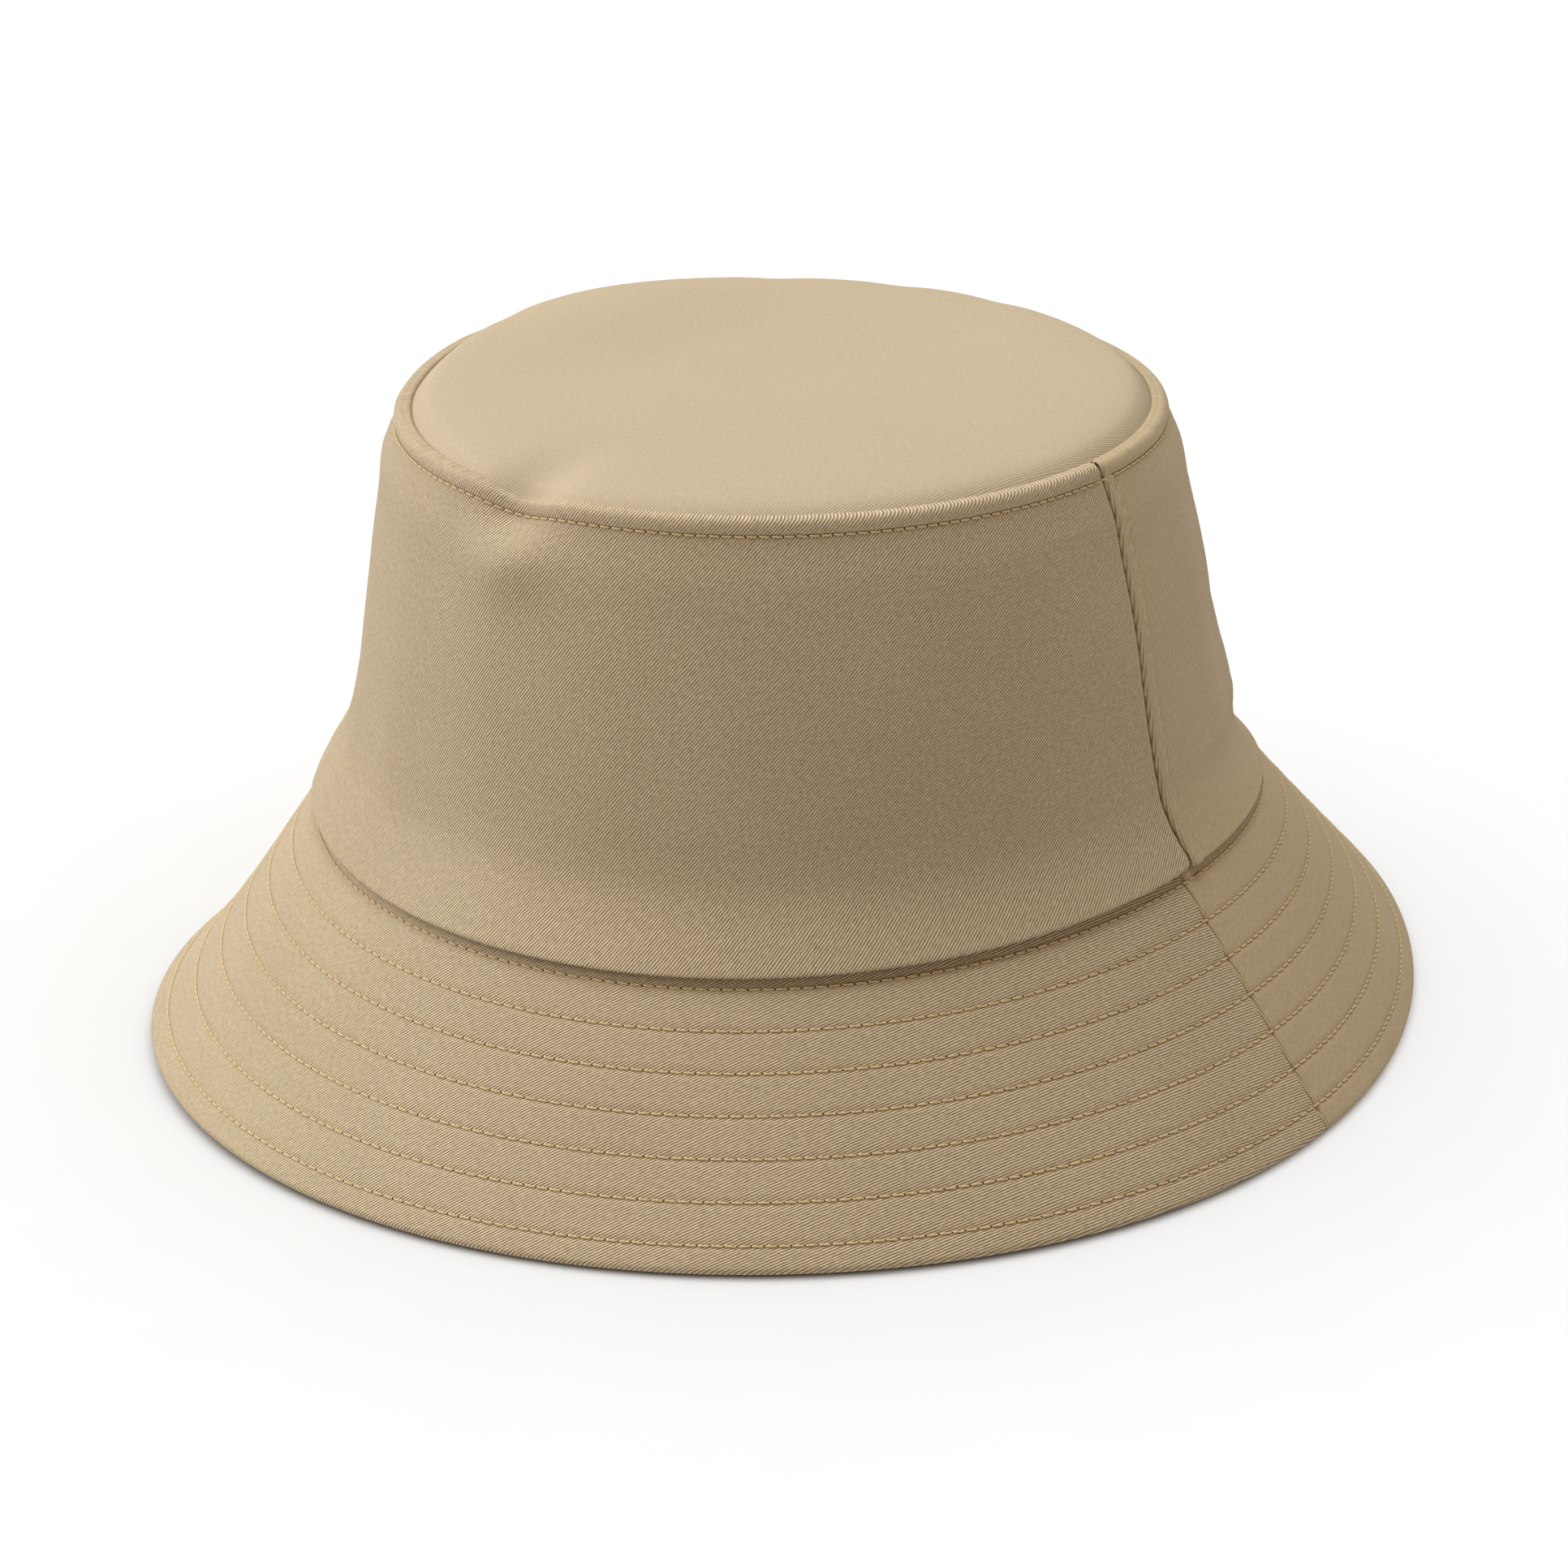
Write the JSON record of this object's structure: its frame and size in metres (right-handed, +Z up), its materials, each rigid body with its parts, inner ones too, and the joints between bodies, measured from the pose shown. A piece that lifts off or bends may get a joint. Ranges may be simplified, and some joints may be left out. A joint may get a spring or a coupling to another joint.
{
  "type": "bucket hat",
  "caption": "Lined bucket hat with a flat oval crown, two side panels and a stiff downward brim sewn with concentric rows, standing on its brim edge.",
  "frame": {"origin": "on the floor, at the centre of the brim's outline, below the crown", "axes": "+Z up through the crown, -Y the way the wearer looks, +X the wearer's left"},
  "size_m": [0.24, 0.268, 0.121],
  "materials": {
    "outer_twill": "matt cotton twill, khaki",
    "interlining": "fused non-woven",
    "brim_stiffener": "stiff non-woven",
    "lining": "plain-weave cotton lining",
    "sweatband": "folded cotton twill tape",
    "label": "woven satin tape, blank",
    "thread": "polyester-cotton sewing thread"
  },
  "bodies": {
    "hat": {"crown_tip": "outer_twill", "side_panel_front": "outer_twill", "side_panel_back": "outer_twill", "brim_upper_front": "outer_twill", "brim_upper_back": "outer_twill", "brim_under_front": "outer_twill", "brim_under_back": "outer_twill", "tip_interlining": "interlining", "side_interlining_front": "interlining", "side_interlining_back": "interlining", "brim_stiffener_front": "brim_stiffener", "brim_stiffener_back": "brim_stiffener", "lining_tip": "lining", "lining_side_front": "lining", "lining_side_back": "lining", "sweatband": "sweatband", "brand_label": "label", "size_tab": "label", "crown_edge_stitch": "thread", "side_stitch_left": "thread", "side_stitch_right": "thread", "brim_stitch_1": "thread", "brim_stitch_2": "thread", "brim_stitch_3": "thread", "brim_stitch_4": "thread", "brim_stitch_5": "thread", "brim_stitch_6": "thread", "brim_stitch_7": "thread", "sweatband_stitch": "thread"},
    "care_label": {"care_label": "label"}
  },
  "joints": [
    {"name": "care_label_swing", "type": "hinge", "parent": "hat", "child": "care_label", "pos_m": [0.0843, 0.003, 0.0425], "axis": [0, 1, 0], "range_deg": [-25, 160]}
  ]
}
